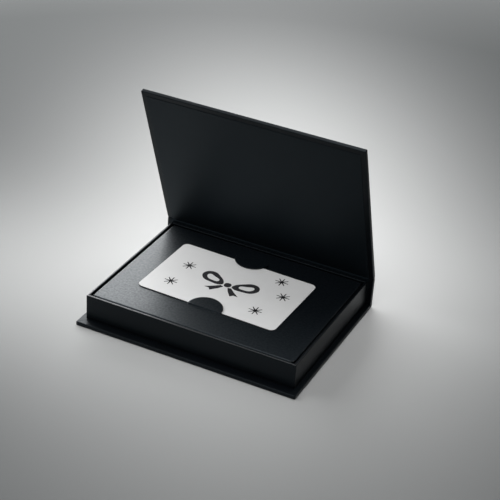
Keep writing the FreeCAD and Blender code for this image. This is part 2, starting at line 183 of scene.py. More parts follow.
class HolderFinish(bpy.types.PropertyGroup):
    """Colours and surface values of the papers, the card and the hidden parts."""

    cover: colour_value("Cover paper", "Colour outside and on the tray", (0.0002, 0.0007, 0.0016))
    lining: colour_value("Lining paper", "Colour of the lining papers", (0.0002, 0.0007, 0.0016))
    insert: colour_value("Platform card", "Colour of the folded platform", (0.0002, 0.0007, 0.0016))
    cover_sheen: colour_value("Cover sheen", "Tint of the light that it mirrors", (0.74, 0.9, 1.0))
    lining_sheen: colour_value("Lining sheen", "Tint of the light that it mirrors", (0.6, 0.84, 1.0))
    insert_sheen: colour_value("Platform sheen", "Tint of the light that it mirrors", (0.68, 0.87, 1.0))
    rubbed: colour_value("Rubbed fold", "Colour of black paper on a rubbed fold", (0.028, 0.029, 0.031))
    card: colour_value("Card plastic", "Colour of the card", (0.66, 0.665, 0.665))
    # The card's edge colour is painted shade: a dark edge that stands in for the shadow line along the card
    core: colour_value("Card edge", "Colour of the card's cut edge", (0.06, 0.06, 0.062))
    ink: colour_value("Card ink", "Colour of the print on the card", (0.018, 0.018, 0.02))
    board: colour_value("Grey board", "Colour of the boards under the paper", (0.30, 0.285, 0.26))
    stay: colour_value("Corner stay", "Colour of the tape in the tray's corners", (0.46, 0.31, 0.18))
    nickel: colour_value("Magnet plating", "Colour of the plated magnets", (0.62, 0.60, 0.57))
    cover_roughness: share_value("Cover roughness", "Roughness of the cover paper", 0.44)
    lining_roughness: share_value("Lining roughness", "Roughness of the lining paper", 0.56)
    insert_roughness: share_value("Platform roughness", "Roughness of the platform's card", 0.48)
    polish_roughness: share_value("Polish roughness", "Roughness of the cover where it is handled", 0.4)
    varnish_roughness: share_value("Varnish roughness", "Roughness of the platform's varnish", 0.28)
    cover_shine: share_value("Cover shine", "Specular level of the cover paper", 0.25)
    lining_shine: share_value("Lining shine", "Specular level of the lining paper", 0.345)
    insert_shine: share_value("Platform shine", "Specular level of the platform's card", 0.41)
    insert_coat: share_value("Platform varnish", "Share of thin varnish on the platform", 0.26)
    cover_wear: share_value("Cover wear", "How much the folds of the cover are rubbed", 0.2)
    lining_wear: share_value("Lining wear", "How much the folds of the lining are rubbed", 0.1)
    insert_wear: share_value("Platform wear", "How much the folds of the platform are rubbed", 0.4)
    mottle: size_value("Varnish mottle", "Distance between two thin places of the varnish", 1.3)
    grain: size_value("Paper grain", "Distance between two grains of the paper", 0.7)
    relief: size_value("Paper relief", "Height of the paper's grain", 0.012)
    insert_grain: size_value("Platform grain", "Distance between two grains of the platform", 1.5)
    insert_relief: size_value("Platform relief", "Height of the grain of the platform", 0.05)


class HolderPrint(bpy.types.PropertyGroup):
    """The plain ornament printed on the card."""

    star_rays: IntProperty(name="Rays", description="Rays of each star", default=8, min=3, max=24)
    star_reach: size_value("Star reach", "Length of a star's ray", 4.0)
    star_width: size_value("Ray width", "Width of a star's ray at its foot", 0.86)
    film: size_value("Ink film", "Thickness of the printed ink", 0.02)


class HolderStudio(bpy.types.PropertyGroup):
    """Camera, lamps and floor."""

    camera_place: FloatVectorProperty(
        name="Camera place", description="Where the camera stands",
        default=(0.29923, -0.62967, 0.45809), subtype="TRANSLATION")
    camera_turn: FloatVectorProperty(
        name="Camera turn", description="How the camera is turned",
        default=[math.radians(angle) for angle in (59.2162, -3.4312, 26.6021)], subtype="EULER")
    lens: FloatProperty(
        name="Lens", description="Focal length of the camera", default=106.694, unit="CAMERA")
    # The floor's pale middle is a painted pool of light, and its dim edge colour is painted shade
    floor_painted_light: colour_value("Floor", "Colour of the floor round the case", (0.713, 0.72, 0.717))
    floor_painted_shade: colour_value("Floor edge", "Colour of the floor where it is dimmest", (0.075, 0.08, 0.081))
    floor_far: colour_value("Far floor", "Colour of the floor far from the case", (0.74, 0.75, 0.75))
    window_power: power_value("Window lamp", "Power of the wide soft box at the rear left", 22.3)
    top_power: power_value("Top lamp", "Power of the soft box above the case", 4.6)
    front_power: power_value("Front lamp", "Power of the soft box over the camera's side", 7.2)
    side_power: power_value("Side lamp", "Power of the soft box at the left", 6.6)
    fill: FloatProperty(
        name="Fill", description="Strength of the even light of the room", default=0.06, min=0)


GROUPS = {
    "holder_sizes": HolderSizes,
    "holder_finish": HolderFinish,
    "holder_print": HolderPrint,
    "holder_studio": HolderStudio,
}


def sizes():
    """The sizes that the pieces are made to."""
    return bpy.context.scene.holder_sizes


def finish():
    """The colours and surface values that the finishes are made to."""
    return bpy.context.scene.holder_finish


# Shader helpers
def set_inputs(tree, node, inputs):
    """Sets inputs of a node, each by a plain value or by the socket that feeds it."""
    for name, value in inputs.items():
        if isinstance(value, bpy.types.NodeSocket):
            tree.links.new(value, node.inputs[name])
        else:
            node.inputs[name].default_value = value


def add(tree, kind, inputs=None, **settings):
    """A node with its settings and inputs."""
    made = tree.nodes.new(kind)
    for name, value in settings.items():
        setattr(made, name, value)
    set_inputs(tree, made, inputs or {})
    return made


def maths(tree, operation, first, second=0.0):
    """Output of one Math node."""
    return add(tree, "ShaderNodeMath", {0: first, 1: second}, operation=operation).outputs[0]


def ranged(tree, value, low, high, bottom=0.0, top=1.0):
    """Output of a clamped Map Range node."""
    names = ("Value", "From Min", "From Max", "To Min", "To Max")
    inputs = dict(zip(names, (value, low, high, bottom, top)))
    return add(tree, "ShaderNodeMapRange", inputs).outputs["Result"]


def toned(colour, share=1.0):
    """A colour made lighter or darker, with full alpha, as colour sockets want it."""
    return (*[min(share * part, 1.0) for part in colour], 1.0)


def blended(tree, amount, first, second):
    """Colour output of a Mix node."""
    made = add(tree, "ShaderNodeMix", {0: amount, 6: first, 7: second}, data_type="RGBA")
    return made.outputs[2]


def noise(tree, place, scale, detail=2.0, roughness=0.5):
    """Noise with about as many features to the metre as its scale says."""
    inputs = {"Vector": place, "Scale": scale, "Detail": detail, "Roughness": roughness}
    return add(tree, "ShaderNodeTexNoise", inputs).outputs["Fac"]


def mask(tree, name):
    """A mask that the mesh carries."""
    return add(tree, "ShaderNodeAttribute", attribute_name=name).outputs["Fac"]


def effect(name, inputs, outputs):
    """An empty shader group with its named sockets, and its inner inputs and outputs."""
    tree = bpy.data.node_groups.new(name, "ShaderNodeTree")
    for label in inputs:
        kind = "NodeSocketVector" if label == "Position" else "NodeSocketFloat"
        tree.interface.new_socket(label, in_out="INPUT", socket_type=kind)
    for label in outputs:
        tree.interface.new_socket(label, in_out="OUTPUT", socket_type="NodeSocketFloat")
    source = tree.nodes.new("NodeGroupInput").outputs
    return tree, source, tree.nodes.new("NodeGroupOutput")


def placed(tree, shared, inputs):
    """Outputs of a shared effect that is placed in a material."""
    return add(tree, "ShaderNodeGroup", inputs, node_tree=shared).outputs


# Marks on the surfaces: how far apart they lie and how high they stand
WEAR_SPACING = 3 * MM
DUST_SPACING = 6 * MM
CARD_CLOUD_SPACING = 9 * MM
CARD_TOOTH_SPACING = 0.25 * MM
CARD_TOOTH_RELIEF = 0.003 * MM
INK_PATCH_SPACING = 0.6 * MM
BOARD_GRAIN_SPACING = 0.9 * MM
BOARD_FLECK_SPACING = 0.5 * MM
BOARD_RELIEF = 0.05 * MM
STAY_GRAIN_SPACING = 0.6 * MM
STAY_RELIEF = 0.02 * MM
PLATING_MARK_SPACING = 0.3 * MM
PLATING_MARK_RELIEF = 0.004 * MM

# Fibres in the paper: how they stretch its grain, and their share of the grain's height
FIBRE_STRETCH = (0.2, 1.0, 0.6)
FIBRE_SHARE = 0.5
# Scale of the paper's slow drift of tone, as a share of its grain's scale
TONE_SHARE = 0.03
# Stretches of noise values over which tone, satin and rubbing come in
DRIFT = (0.3, 0.7)
SATIN_SPAN = (0.25, 0.75)
WEAR_SPAN = (0.42, 0.7)
# Black paper: its deep and light tones as shares of its colour, and changes of its roughness
BLACK_TONE_SHARES = (0.8, 1.25)
SATIN_DRIFT = 0.012
RUBBED_ROUGHNESS = 0.2
# Dust: how wide a speck is, as shares of the spacing, which cells hold one, and how it shows
SPECK_SHARES = (0.02, 0.05)
SPECK_CHOICE = 0.72
DUST_AMOUNT = 0.06
DUST_COLOUR = (0.5, 0.5, 0.5)
# Least and most varnish on the platform, as shares of the whole
VARNISH_SHARES = (0.3, 1.7)
# Specular levels of the card's face, cut edge and ink
CARD_SHINE = 0.02
CORE_SHINE = 0.1
INK_SHINE = 0.08


# Effects that several finishes share
@cache
def paper_grain():
    """Fine embossed grain with longer fibres, and slow changes of tone across a sheet."""
    tree, source, result = effect("paper_grain", ("Position", "Spacing"), ("Height", "Tone"))
    place = source["Position"]
    scale = maths(tree, "DIVIDE", 1.0, source["Spacing"])
    fine = noise(tree, place, scale, 3.0, 0.6)
    strands = add(tree, "ShaderNodeMapping", {"Vector": place, "Scale": FIBRE_STRETCH}).outputs["Vector"]
    fibre = maths(tree, "MULTIPLY", noise(tree, strands, scale), FIBRE_SHARE)
    slow = noise(tree, place, maths(tree, "MULTIPLY", scale, TONE_SHARE))
    set_inputs(tree, result, {"Height": maths(tree, "ADD", fine, fibre), "Tone": slow})
    return tree


@cache
def fold_wear():
    """Broken rubbing along folds, from a mask that the mesh carries."""
    tree, source, result = effect("fold_wear", ("Position", "Fold", "Amount"), ("Mask",))
    patches = ranged(tree, noise(tree, source["Position"], 1 / WEAR_SPACING, 4.0), *WEAR_SPAN)
    worn = maths(tree, "MULTIPLY", patches, source["Fold"])
    set_inputs(tree, result, {"Mask": maths(tree, "MULTIPLY", worn, source["Amount"])})
    return tree


@cache
def dust_specks():
    """A few pale specks of paper dust."""
    tree, source, result = effect("dust_specks", ("Position", "Spacing", "Amount"), ("Mask",))
    scale = maths(tree, "DIVIDE", 1.0, source["Spacing"])
    cells = add(tree, "ShaderNodeTexVoronoi", {"Vector": source["Position"], "Scale": scale}).outputs
    near = ranged(tree, cells["Distance"], *SPECK_SHARES, 1.0, 0.0)
    chosen = maths(tree, "GREATER_THAN", cells["Color"], SPECK_CHOICE)
    specks = maths(tree, "MULTIPLY", near, chosen)
    set_inputs(tree, result, {"Mask": maths(tree, "MULTIPLY", specks, source["Amount"])})
    return tree


# Finishes
def blank_finish(name):
    """A new material, its tree, its shader and its Object coordinates."""
    material = bpy.data.materials.new(name)
    material.use_nodes = True
    tree = material.node_tree
    place = add(tree, "ShaderNodeTexCoord").outputs["Object"]
    return material, tree, tree.nodes["Principled BSDF"], place


def set_relief(tree, shader, height, distance):
    """Feeds a height to the shader's normal through a Bump node."""
    bump = add(tree, "ShaderNodeBump", {"Height": height, "Distance": distance})
    tree.links.new(bump.outputs["Normal"], shader.inputs["Normal"])


def mottled(tree, shader, pattern, span, tones, roughness):
    """Colour and roughness that drift between two values along a pattern."""
    set_inputs(tree, shader, {
        "Base Color": blended(tree, ranged(tree, pattern, *span), *tones),
        "Roughness": ranged(tree, pattern, *DRIFT, *roughness),
    })


def black_paper(name, colour, sheen, roughness, shine, wear, spacing, relief):
    """Dyed black paper with a satin face, a fine grain and folds that are a little rubbed."""
    material, tree, shader, place = blank_finish(name)
    grain = placed(tree, paper_grain(), {"Position": place, "Spacing": spacing})
    folds = {"Position": place, "Fold": mask(tree, "fold"), "Amount": wear}
    worn = placed(tree, fold_wear(), folds)["Mask"]
    specks = {"Position": place, "Spacing": DUST_SPACING, "Amount": DUST_AMOUNT}
    dust = placed(tree, dust_specks(), specks)["Mask"]
    deep, light = [toned(colour, share) for share in BLACK_TONE_SHARES]
    dyed = blended(tree, ranged(tree, grain["Tone"], *DRIFT), deep, light)
    rubbed = blended(tree, worn, dyed, toned(finish().rubbed))
    satin = ranged(tree, grain["Tone"], *SATIN_SPAN, roughness - SATIN_DRIFT, roughness + SATIN_DRIFT)
    matt = maths(tree, "MULTIPLY", worn, RUBBED_ROUGHNESS)
    set_inputs(tree, shader, {
        "Base Color": blended(tree, dust, rubbed, toned(DUST_COLOUR)),
        "Roughness": maths(tree, "ADD", satin, matt),
        "Specular IOR Level": shine,
        "Specular Tint": toned(sheen),
    })
    set_relief(tree, shader, grain["Height"], relief)
    return material, tree, shader, place


@cache
def cover_paper():
    """Paper of the outside, the turn-ins and the tray, polished where it is handled."""
    values = finish()
    material, tree, shader, _ = black_paper(
        "black_cover_paper", values.cover, values.cover_sheen, values.cover_roughness,
        values.cover_shine, values.cover_wear, values.grain, values.relief)
    polish = {"Coat Weight": mask(tree, "polish"), "Coat Roughness": values.polish_roughness}
    set_inputs(tree, shader, polish)
    return material


@cache
def lining_paper():
    """Paper of the linings."""
    values = finish()
    return black_paper(
        "black_lining_paper", values.lining, values.lining_sheen, values.lining_roughness,
        values.lining_shine, values.lining_wear, values.grain, values.relief)[0]


@cache
def platform_card():
    """Thin varnished card of the folded platform and its tabs."""
    values = finish()
    material, tree, shader, place = black_paper(
        "black_platform_card", values.insert, values.insert_sheen, values.insert_roughness,
        values.insert_shine, values.insert_wear, values.insert_grain, values.insert_relief)
    least, most = [share * values.insert_coat for share in VARNISH_SHARES]
    varnish = ranged(tree, noise(tree, place, 1 / values.mottle, 3.0), *DRIFT, least, most)
    set_inputs(tree, shader, {"Coat Weight": varnish, "Coat Roughness": values.varnish_roughness})
    return material


def card_plastic():
    """White sheet plastic with a satin face."""
    material, tree, shader, place = blank_finish("white_card_plastic")
    tones = (toned(finish().card, 0.98), toned(finish().card))
    cloud = noise(tree, place, 1 / CARD_CLOUD_SPACING)
    mottled(tree, shader, cloud, span=(0.35, 0.65), tones=tones, roughness=(0.5, 0.56))
    shader.inputs["Specular IOR Level"].default_value = CARD_SHINE
    set_relief(tree, shader, noise(tree, place, 1 / CARD_TOOTH_SPACING), CARD_TOOTH_RELIEF)
    return material


def card_edge_shade():
    """Dark cut edge of the card: painted shade for the shadow line along the card's edge."""
    material, tree, shader, place = blank_finish("card_cut_edge")
    tones = (toned(finish().core), toned(finish().core, 1.3))
    streaks = noise(tree, place, 1 / finish().grain, 3.0)
    mottled(tree, shader, streaks, span=(0.35, 0.65), tones=tones, roughness=(0.6, 0.75))
    shader.inputs["Specular IOR Level"].default_value = CORE_SHINE
    return material


@cache
def card_ink():
    """Black ink, a little thinner in places."""
    material, tree, shader, place = blank_finish("black_card_ink")
    tones = (toned(finish().ink), toned(finish().ink, 2.2))
    patches = noise(tree, place, 1 / INK_PATCH_SPACING, 3.0)
    mottled(tree, shader, patches, span=(0.45, 0.75), tones=tones, roughness=(0.5, 0.65))
    shader.inputs["Specular IOR Level"].default_value = INK_SHINE
    return material


@cache
def grey_board():
    """Pulp board with pale and dark fibres."""
    material, tree, shader, place = blank_finish("grey_board")
    colour = finish().board
    grain = placed(tree, paper_grain(), {"Position": place, "Spacing": BOARD_GRAIN_SPACING})
    fleck = noise(tree, place, 1 / BOARD_FLECK_SPACING, 4.0)
    pulp = blended(tree, ranged(tree, grain["Tone"], *DRIFT), toned(colour, 0.7), toned(colour))
    tones = (pulp, toned(colour, 1.4))
    mottled(tree, shader, fleck, span=(0.6, 0.75), tones=tones, roughness=(0.8, 0.95))
    set_relief(tree, shader, grain["Height"], BOARD_RELIEF)
    return material


@cache
def stay_tape():
    """Brown gummed paper tape."""
    material, tree, shader, place = blank_finish("brown_stay_tape")
    colour = finish().stay
    grain = placed(tree, paper_grain(), {"Position": place, "Spacing": STAY_GRAIN_SPACING})
    ribs = ranged(tree, grain["Height"], 0.5, 1.0)
    set_inputs(tree, shader, {
        "Base Color": blended(tree, ribs, toned(colour, 0.8), toned(colour)),
        "Roughness": ranged(tree, grain["Tone"], *DRIFT, 0.6, 0.75),
    })
    set_relief(tree, shader, grain["Height"], STAY_RELIEF)
    return material


@cache
def magnet_plating():
    """Nickel plating with fine tumbling marks."""
    material, tree, shader, place = blank_finish("nickel_magnet_plating")
    tones = (toned(finish().nickel), toned(finish().nickel, 0.8))
    marks = noise(tree, place, 1 / PLATING_MARK_SPACING, 3.0)
    mottled(tree, shader, marks, span=(0.4, 0.7), tones=tones, roughness=(0.22, 0.36))
    shader.inputs["Metallic"].default_value = 1.0
    set_relief(tree, shader, marks, PLATING_MARK_RELIEF)
    return material


# Mesh helpers
def start_mesh():
    """An empty mesh that carries the masks of its folds and of its polished places."""
    surface = bmesh.new()
    surface.verts.layers.float.new("fold")
    surface.verts.layers.float.new("polish")
    return surface


def put(surface, point, fold=0.0):
    """One vertex with its share of the fold mask."""
    vertex = surface.verts.new(point)
    vertex[surface.verts.layers.float["fold"]] = fold
    return vertex


def face(surface, corners, turned):
    """One face, listed the other way round where it is turned."""
    surface.faces.new(corners[::-1] if turned else corners)


def skin(surface, rows, turned, closed=False):
    """Faces between rows of vertices."""
    for lower, upper in zip(rows, rows[1:]):
        count = len(lower)
        for j in range(count if closed else count - 1):
            k = (j + 1) % count
            face(surface, [lower[j], lower[k], upper[k], upper[j]], turned)


def prism(surface, place, outline, levels, turned):
    """A closed body: an outline at two levels, with its sides, foot and top."""
    rows = []
    for level in levels:
        rows.append([put(surface, place @ Vector((point.x, point.y, level))) for point in outline])
    skin(surface, rows, turned, closed=True)
    face(surface, rows[0], not turned)
    face(surface, rows[1], turned)


def new_object(name, data):
    """An object in the scene for a mesh, a curve, a lamp or a camera."""
    made = bpy.data.objects.new(name, data)
    bpy.context.scene.collection.objects.link(made)
    return made


def settled(holder):
    """The shape of a working object with its modifiers as a plain mesh; the object itself goes."""
    ready = holder.evaluated_get(bpy.context.evaluated_depsgraph_get())
    mesh = bpy.data.meshes.new_from_object(ready)
    bpy.data.objects.remove(holder)
    return mesh


def plain_mesh(name, surface, thickness=0.0, soften=0.0):
    """Merges a surface, gives it thickness inwards and soft edges, and returns it as a plain mesh."""
    bmesh.ops.remove_doubles(surface, verts=surface.verts, dist=MERGE)
    bmesh.ops.dissolve_degenerate(surface, edges=surface.edges, dist=MERGE)
    draft = bpy.data.meshes.new(name + "_draft")
    surface.to_mesh(draft)
    surface.free()
    draft.shade_smooth()
    draft.set_sharp_from_angle(angle=SHARP_ANGLE)
    holder = new_object(name + "_draft", draft)
    if thickness:
        wall = holder.modifiers.new("thickness", "SOLIDIFY")
        wall.thickness = thickness
        wall.offset = -1
    if soften:
        edge = holder.modifiers.new("soft_edges", "BEVEL")
        edge.width = soften
        edge.segments = EDGE_STEPS
        edge.limit_method = "ANGLE"
        edge.angle_limit = SHARP_ANGLE
    flat = holder.modifiers.new("flat_faces", "WEIGHTED_NORMAL")
    flat.keep_sharp = True
    mesh = settled(holder)
    mesh.name = name
    bpy.data.meshes.remove(draft)
    return mesh


def show(name, mesh, material):
    """An object for a mesh with its material."""
    mesh.materials.clear()
    mesh.materials.append(material)
    return new_object(name, mesh)


def finished(name, surface, material, thickness=0.0, soften=0.0):
    """A piece from its surface."""
    return show(name, plain_mesh(name, surface, thickness, soften), material)


def bend(centre, radius, start, turn):
    """Points of a rounded fold in a cross-section, most rubbed in the middle."""
    points = []
    for k in range(BEND_STEPS + 1):
        part = k / BEND_STEPS
        angle = start + turn * part
        inset = centre[0] + radius * math.cos(angle)
        height = centre[1] + radius * math.sin(angle)
        points.append((inset, height, math.sin(math.pi * part), 0.0))
    return points


def corner_path(corner, before, after, inset):
    """Points round one corner of an inset outline, which meet in a mitre past the corner's radius."""
    radius = sizes().corner_round
    reach = max(radius - inset, 0.0)
    centre = corner - (before + after) * max(radius, inset)
    gap = sizes().mitre_gap
    points = [(centre + before * reach - after * gap, False)]
    for k in range(BEND_STEPS + 1):
        angle = QUARTER * k / BEND_STEPS
        outward = before * math.cos(angle) + after * math.sin(angle)
        points.append((centre + outward * reach, reach == 0))
    points.append((centre + after * reach - before * gap, False))
    return points


def rim_path(low, high, inset, closed):
    """Outline of a rectangle, inset, with its corners; an open one starts and ends at the fold."""
    corners = [
        (Vector((low.x, high.y)), LEFT, FAR),
        (Vector((high.x, high.y)), FAR, RIGHT),
        (Vector((high.x, low.y)), RIGHT, NEAR),
        (Vector((low.x, low.y)), NEAR, LEFT),
    ]
    points = []
    for corner, before, after in corners if closed else corners[:2]:
        points += corner_path(corner, before, after, inset)
    if closed:
        return points
    start = (Vector((low.x + inset, low.y)), False)
    end = (Vector((high.x - inset, low.y)), False)
    return [start] + points + [end]


def sweep(surface, place, low, high, profile, closed):
    """Rows of vertices where a cross-section is carried round a rectangle."""
    rows = []
    for inset, height, fold, sink in profile:
        row = []
        for point, mitred in rim_path(low, high, inset, closed):
            level = height - sink if mitred else height
            row.append(put(surface, place @ Vector((point.x, point.y, level)), fold))
        rows.append(row)
    return rows


def wrap_section(half):
    """Cross-section of paper wrapped round a board's edge, from the outer face to the turn-in's end."""
    radius = min(sizes().edge_round, ROUND_LIMIT_SHARE * half)
    flat = 2 * sizes().edge_round
    sink = sizes().mitre_depth
    section = [(flat, -half, 0.0, 0.0)]
    section += bend((radius, radius - half), radius, 3 * QUARTER, -QUARTER)
    section += [(0.0, 0.0, 0.0, 0.0)]
    section += bend((radius, half - radius), radius, 2 * QUARTER, -QUARTER)
    section += [(flat, half, 0.0, sink), (sizes().turn_in, half, 0.0, sink)]
    return section


def across(section, half_width):
    """A wrap section at both edges of a strip, joined by its outer face."""
    left = [(inset - half_width, height, fold) for inset, height, fold, _ in reversed(section)]
    right = [(half_width - inset, height, fold) for inset, height, fold, _ in section]
    return left + right


def station(surface, centre, inward, points):
    """A row of vertices: a section across X, set on a point of the fold's path."""
    return [put(surface, centre + Vector((x, 0, 0)) + inward * height, fold) for x, height, fold in points]


# The case's covers
def panel_cover(name, node, place):
    """Paper round three edges of a board, open at the fold and under the lining."""
    low, high = local_box(node, place)
    middle = (low.z + high.z) / 2
    place = place @ Matrix.Translation((0, 0, middle))
    surface = start_mesh()
    rows = sweep(surface, place, low, high, wrap_section(high.z - middle), closed=False)
    turned = place.determinant() > 0
    skin(surface, rows, turned)
    face(surface, rows[0], not turned)
    return finished(name, surface, cover_paper(), sizes().paper)


def spine_cover():
    """Paper round the spine, with a rounded fold at its foot."""
    low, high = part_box("spine_wrap")
    half = (high.y - low.y) / 2
    middle = (low.y + high.y) / 2
    section = wrap_section(half)
    outer = section[: BEND_STEPS + 3]
    whole = across(section, high.x)
    shell = across(outer, high.x)
    surface = start_mesh()
    foot = Vector((0, middle, low.z + half))
    top = Vector((0, middle, high.z))
    skin(surface, [station(surface, centre, Vector((0, -1, 0)), whole) for centre in (foot, top)], True)
    turns = [QUARTER * k / ROUND_STEPS for k in range(ROUND_STEPS, -1, -1)]
    fold = [station(surface, foot, Vector((0, -math.cos(turn), math.sin(turn))), shell) for turn in turns]
    end = station(surface, Vector((0, low.y, foot.z)), Vector((0, 0, 1)), shell)
    skin(surface, [end] + fold, True)
    return finished("spine_cover", surface, cover_paper(), sizes().paper)


def hinge_path(reach):
    """Points of the fold between spine and lid, each with its inward side and its depth in the groove."""
    radius = reach / math.tan(LEAN / 2)
    start = HINGE - Vector((0, 0, reach))
    path = []
    for k in range(HINGE_STEPS + 1):
        part = k / HINGE_STEPS
        turn = LEAN * part
        centre = start + Vector((0, radius * (math.cos(turn) - 1), radius * math.sin(turn)))
        inward = Vector((0, -math.cos(turn), -math.sin(turn)))
        path.append((centre, inward, (1 - math.cos(4 * QUARTER * part)) / 2))
    return path


def hinge_cover(half):
    """Cover paper across the hinge, pressed into the gap between the two boards."""
    low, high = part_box("hinge_wrap")
    path = hinge_path(HINGE.z - low.z)
    surface = start_mesh()
    rows = []
    for centre, inward, depth in path:
        points = across(wrap_section(half - sizes().groove * depth), high.x)
        rows.append(station(surface, centre, inward, points))
    skin(surface, rows, True)
    piece = finished("hinge_cover", surface, cover_paper(), sizes().paper)
    return piece, path[1][0], path[-2][0]


# The linings
def lining_sheet(name, node, place):
    """A lining paper that fills a CAD node's box in the axes given, with softened edges."""
    low, high = local_box(node, place)
    outline = [low.xy, Vector((high.x, low.y)), high.xy, Vector((low.x, high.y))]
    surface = start_mesh()
    prism(surface, place, outline, (low.z, high.z), place.determinant() < 0)
    return finished(name, surface, lining_paper(), soften=sizes().lining_edge)


def hinge_lining(half):
    """Lining paper across the hinge, from the spine's lining to the lid's."""
    low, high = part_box("hinge_liner")
    lid_low = local_box("lid_liner", LID)[0]
    path = hinge_path(HINGE.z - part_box("hinge_wrap")[0].z)
    first = (Vector((0, HINGE.y, low.z)), path[0][1], 0.0)
    last = (HINGE + LID_ALONG * lid_low.y, path[-1][1], 0.0)
    surface = start_mesh()
    rows = []
    for centre, inward, depth in [first] + path + [last]:
        level = half - sizes().groove * depth + sizes().paper
        rows.append(station(surface, centre, inward, [(x, level, 0.0) for x in (low.x, high.x)]))
    skin(surface, rows, False)
    piece = finished("hinge_lining", surface, lining_paper(), sizes().paper)
    return piece, first[0], last[0]


# The tray and the platform
def tray_cover():
    """Paper round the tray's walls, turned in under its floor and down inside its rim."""
    low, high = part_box("tray_wrap")
    tall = high.z - low.z
    radius = sizes().edge_round
    wall = sizes().tray_wall
    section = [(sizes().foot_turn_in, 0.0, 0.0, 0.0), (2 * radius, 0.0, 0.0, 0.0)]
    section += bend((radius, radius), radius, 3 * QUARTER, -QUARTER)
    section += [(0.0, 2 * radius, 0.0, 0.0), (0.0, tall - 2 * radius, 0.0, 0.0)]
    section += bend((radius, tall - radius), radius, 2 * QUARTER, -QUARTER)
    section += bend((wall - radius, tall - radius), radius, QUARTER, -QUARTER)
    section += [(wall, tall - 2 * radius, 0.0, 0.0), (wall, tall - sizes().rim_turn_in, 0.0, 0.0)]
    surface = start_mesh()
    place = Matrix.Translation((0, 0, low.z))
    rows = sweep(surface, place, low, high, section, closed=True)
    skin(surface, rows, True, closed=True)
    polish_rim(surface, low, high)
    return finished("tray_cover", surface, cover_paper(), sizes().paper)


def polish_rim(surface, low, high):
    """Marks the outer half of the tray's rim as handled, most at the front."""
    layer = surface.verts.layers.float["polish"]
    for vertex in surface.verts:
        inset = min(*(vertex.co - low).xy, *(high - vertex.co).xy)
        if vertex.co.z > high.z - sizes().edge_round / 2 and inset < sizes().tray_wall / 2:
            vertex[layer] = 1 - (vertex.co.y - low.y) / (high.y - low.y)


def half_moon(middle, towards, radius):
    """Points of a half circle, from one end of its straight side to the other."""
    points = []
    for k in range(ARC_STEPS + 1):
        angle = math.pi * k / ARC_STEPS
        reach = towards * radius * math.sin(angle)
        points.append(Vector((middle.x + radius * math.cos(angle), middle.y + reach)))
    return points


def tab_facts(name):
    """Middle of a tab's uncut side, the way that it points, and its radius."""
    bending = joint(name + "_bend")
    low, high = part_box(name)
    return Vector(bending["pos_m"]), bending["axis"][0], (high.x - low.x) / 2


def platform_top(low, high):
    """Outline of the platform's flat top: its fold lines with a small point at each corner."""
    fold = sizes().insert_fold
    notch = sizes().insert_notch
    points = []
    for x, y, along_first in ((1, 1, False), (-1, 1, True), (-1, -1, False), (1, -1, True)):
        edge_x = high.x if x > 0 else low.x
        edge_y = high.y if y > 0 else low.y
        side = Vector((edge_x - x * fold, edge_y - y * notch))
        tip = Vector((edge_x - x * fold / 2, edge_y - y * fold / 2))
        end = Vector((edge_x - x * notch, edge_y - y * fold))
        points += [end, tip, side] if along_first else [side, tip, end]
    return points


def loop_edges(first, count):
    """Edges that close a run of points."""
    return [(first + k, first + (k + 1) % count) for k in range(count)]


def platform_skirt(surface, low, high, outward):
    """One folded side of the platform: the bend and the wall under it."""
    fold = sizes().insert_fold
    section = bend((fold, high.z - fold), fold, QUARTER, QUARTER) + [(0.0, low.z, 0.0, 0.0)]
    middle = (low + high) / 2
    half = (high - low) / 2
    along = Vector((-outward.y, outward.x))
    length = abs(along.x) * half.x + abs(along.y) * half.y - sizes().insert_notch
    depth = abs(outward.x) * half.x + abs(outward.y) * half.y
    rows = []
    for inset, height, rubbed, _ in section:
        row = []
        for end in (-length, length):
            point = middle.xy + along * end + outward * (depth - inset)
            row.append(put(surface, Vector((point.x, point.y, height)), rubbed))
        rows.append(row)
    skin(surface, rows, True)


def platform_sheet():
    """Folded card that fills the tray, cut with a half-moon at each long side of the card."""
    low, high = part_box("insert_platform")
    points = platform_top(low, high)
    edges = loop_edges(0, len(points))
    moons = []
    for name in ("front_tab", "rear_tab"):
        middle, towards, radius = tab_facts(name)
        moon = half_moon(middle, towards, radius + sizes().tab_slit)
        edges += loop_edges(len(points), len(moon))
        points += moon
        moons.append((middle.xy, towards, radius))
    inside_only = 1
    flat, _, triangles, *_ = delaunay_2d_cdt(points, edges, [], inside_only, MERGE)
    surface = start_mesh()
    vertices = [put(surface, Vector((point.x, point.y, high.z))) for point in flat]
    for corners in triangles:
        centre = sum((flat[k] for k in corners), Vector((0, 0))) / len(corners)
        cut = [(centre - middle).length < radius and (centre.y - middle.y) * towards > 0
               for middle, towards, radius in moons]
        if not any(cut):
            face(surface, [vertices[k] for k in corners], False)
    for outward in (LEFT, FAR, RIGHT, NEAR):
        platform_skirt(surface, low, high, outward)
    return finished("platform_sheet", surface, platform_card(), sizes().insert_sheet)


def holding_tab(name):
    """Half-moon tab: it climbs past the card's edge in a soft step and lies low over the card."""
    middle, towards, radius = tab_facts(name)
    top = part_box(name)[1].z
    slope = math.tan(sizes().tab_lift)
    step_turn = math.asin(FINE_REACH_SHARE * sizes().tab_step / radius)
    turns = [step_turn * k / ARC_STEPS for k in range(ARC_STEPS)]
    turns += [step_turn + (QUARTER - step_turn) * k / ARC_STEPS for k in range(ARC_STEPS + 1)]
    surface = start_mesh()
    rows = []
    for turn in turns:
        reach = radius * math.sin(turn)
        half_width = radius * math.cos(turn)
        part = min(reach / sizes().tab_step, 1.0)
        climb = part * part * (3 - 2 * part)
        level = middle.z + climb * (top - (radius - reach) * slope - middle.z)
        row = []
        for k in range(ARC_STEPS + 1):
            side = half_width * (1 - 2 * k / ARC_STEPS) * towards
            point = Vector((middle.x - side, middle.y + towards * reach, level))
            row.append(put(surface, point, 1 - part))
        rows.append(row)
    skin(surface, rows, False)
    piece_name = name.replace("_tab", "_holding_tab")
    return finished(piece_name, surface, platform_card(), sizes().insert_sheet)


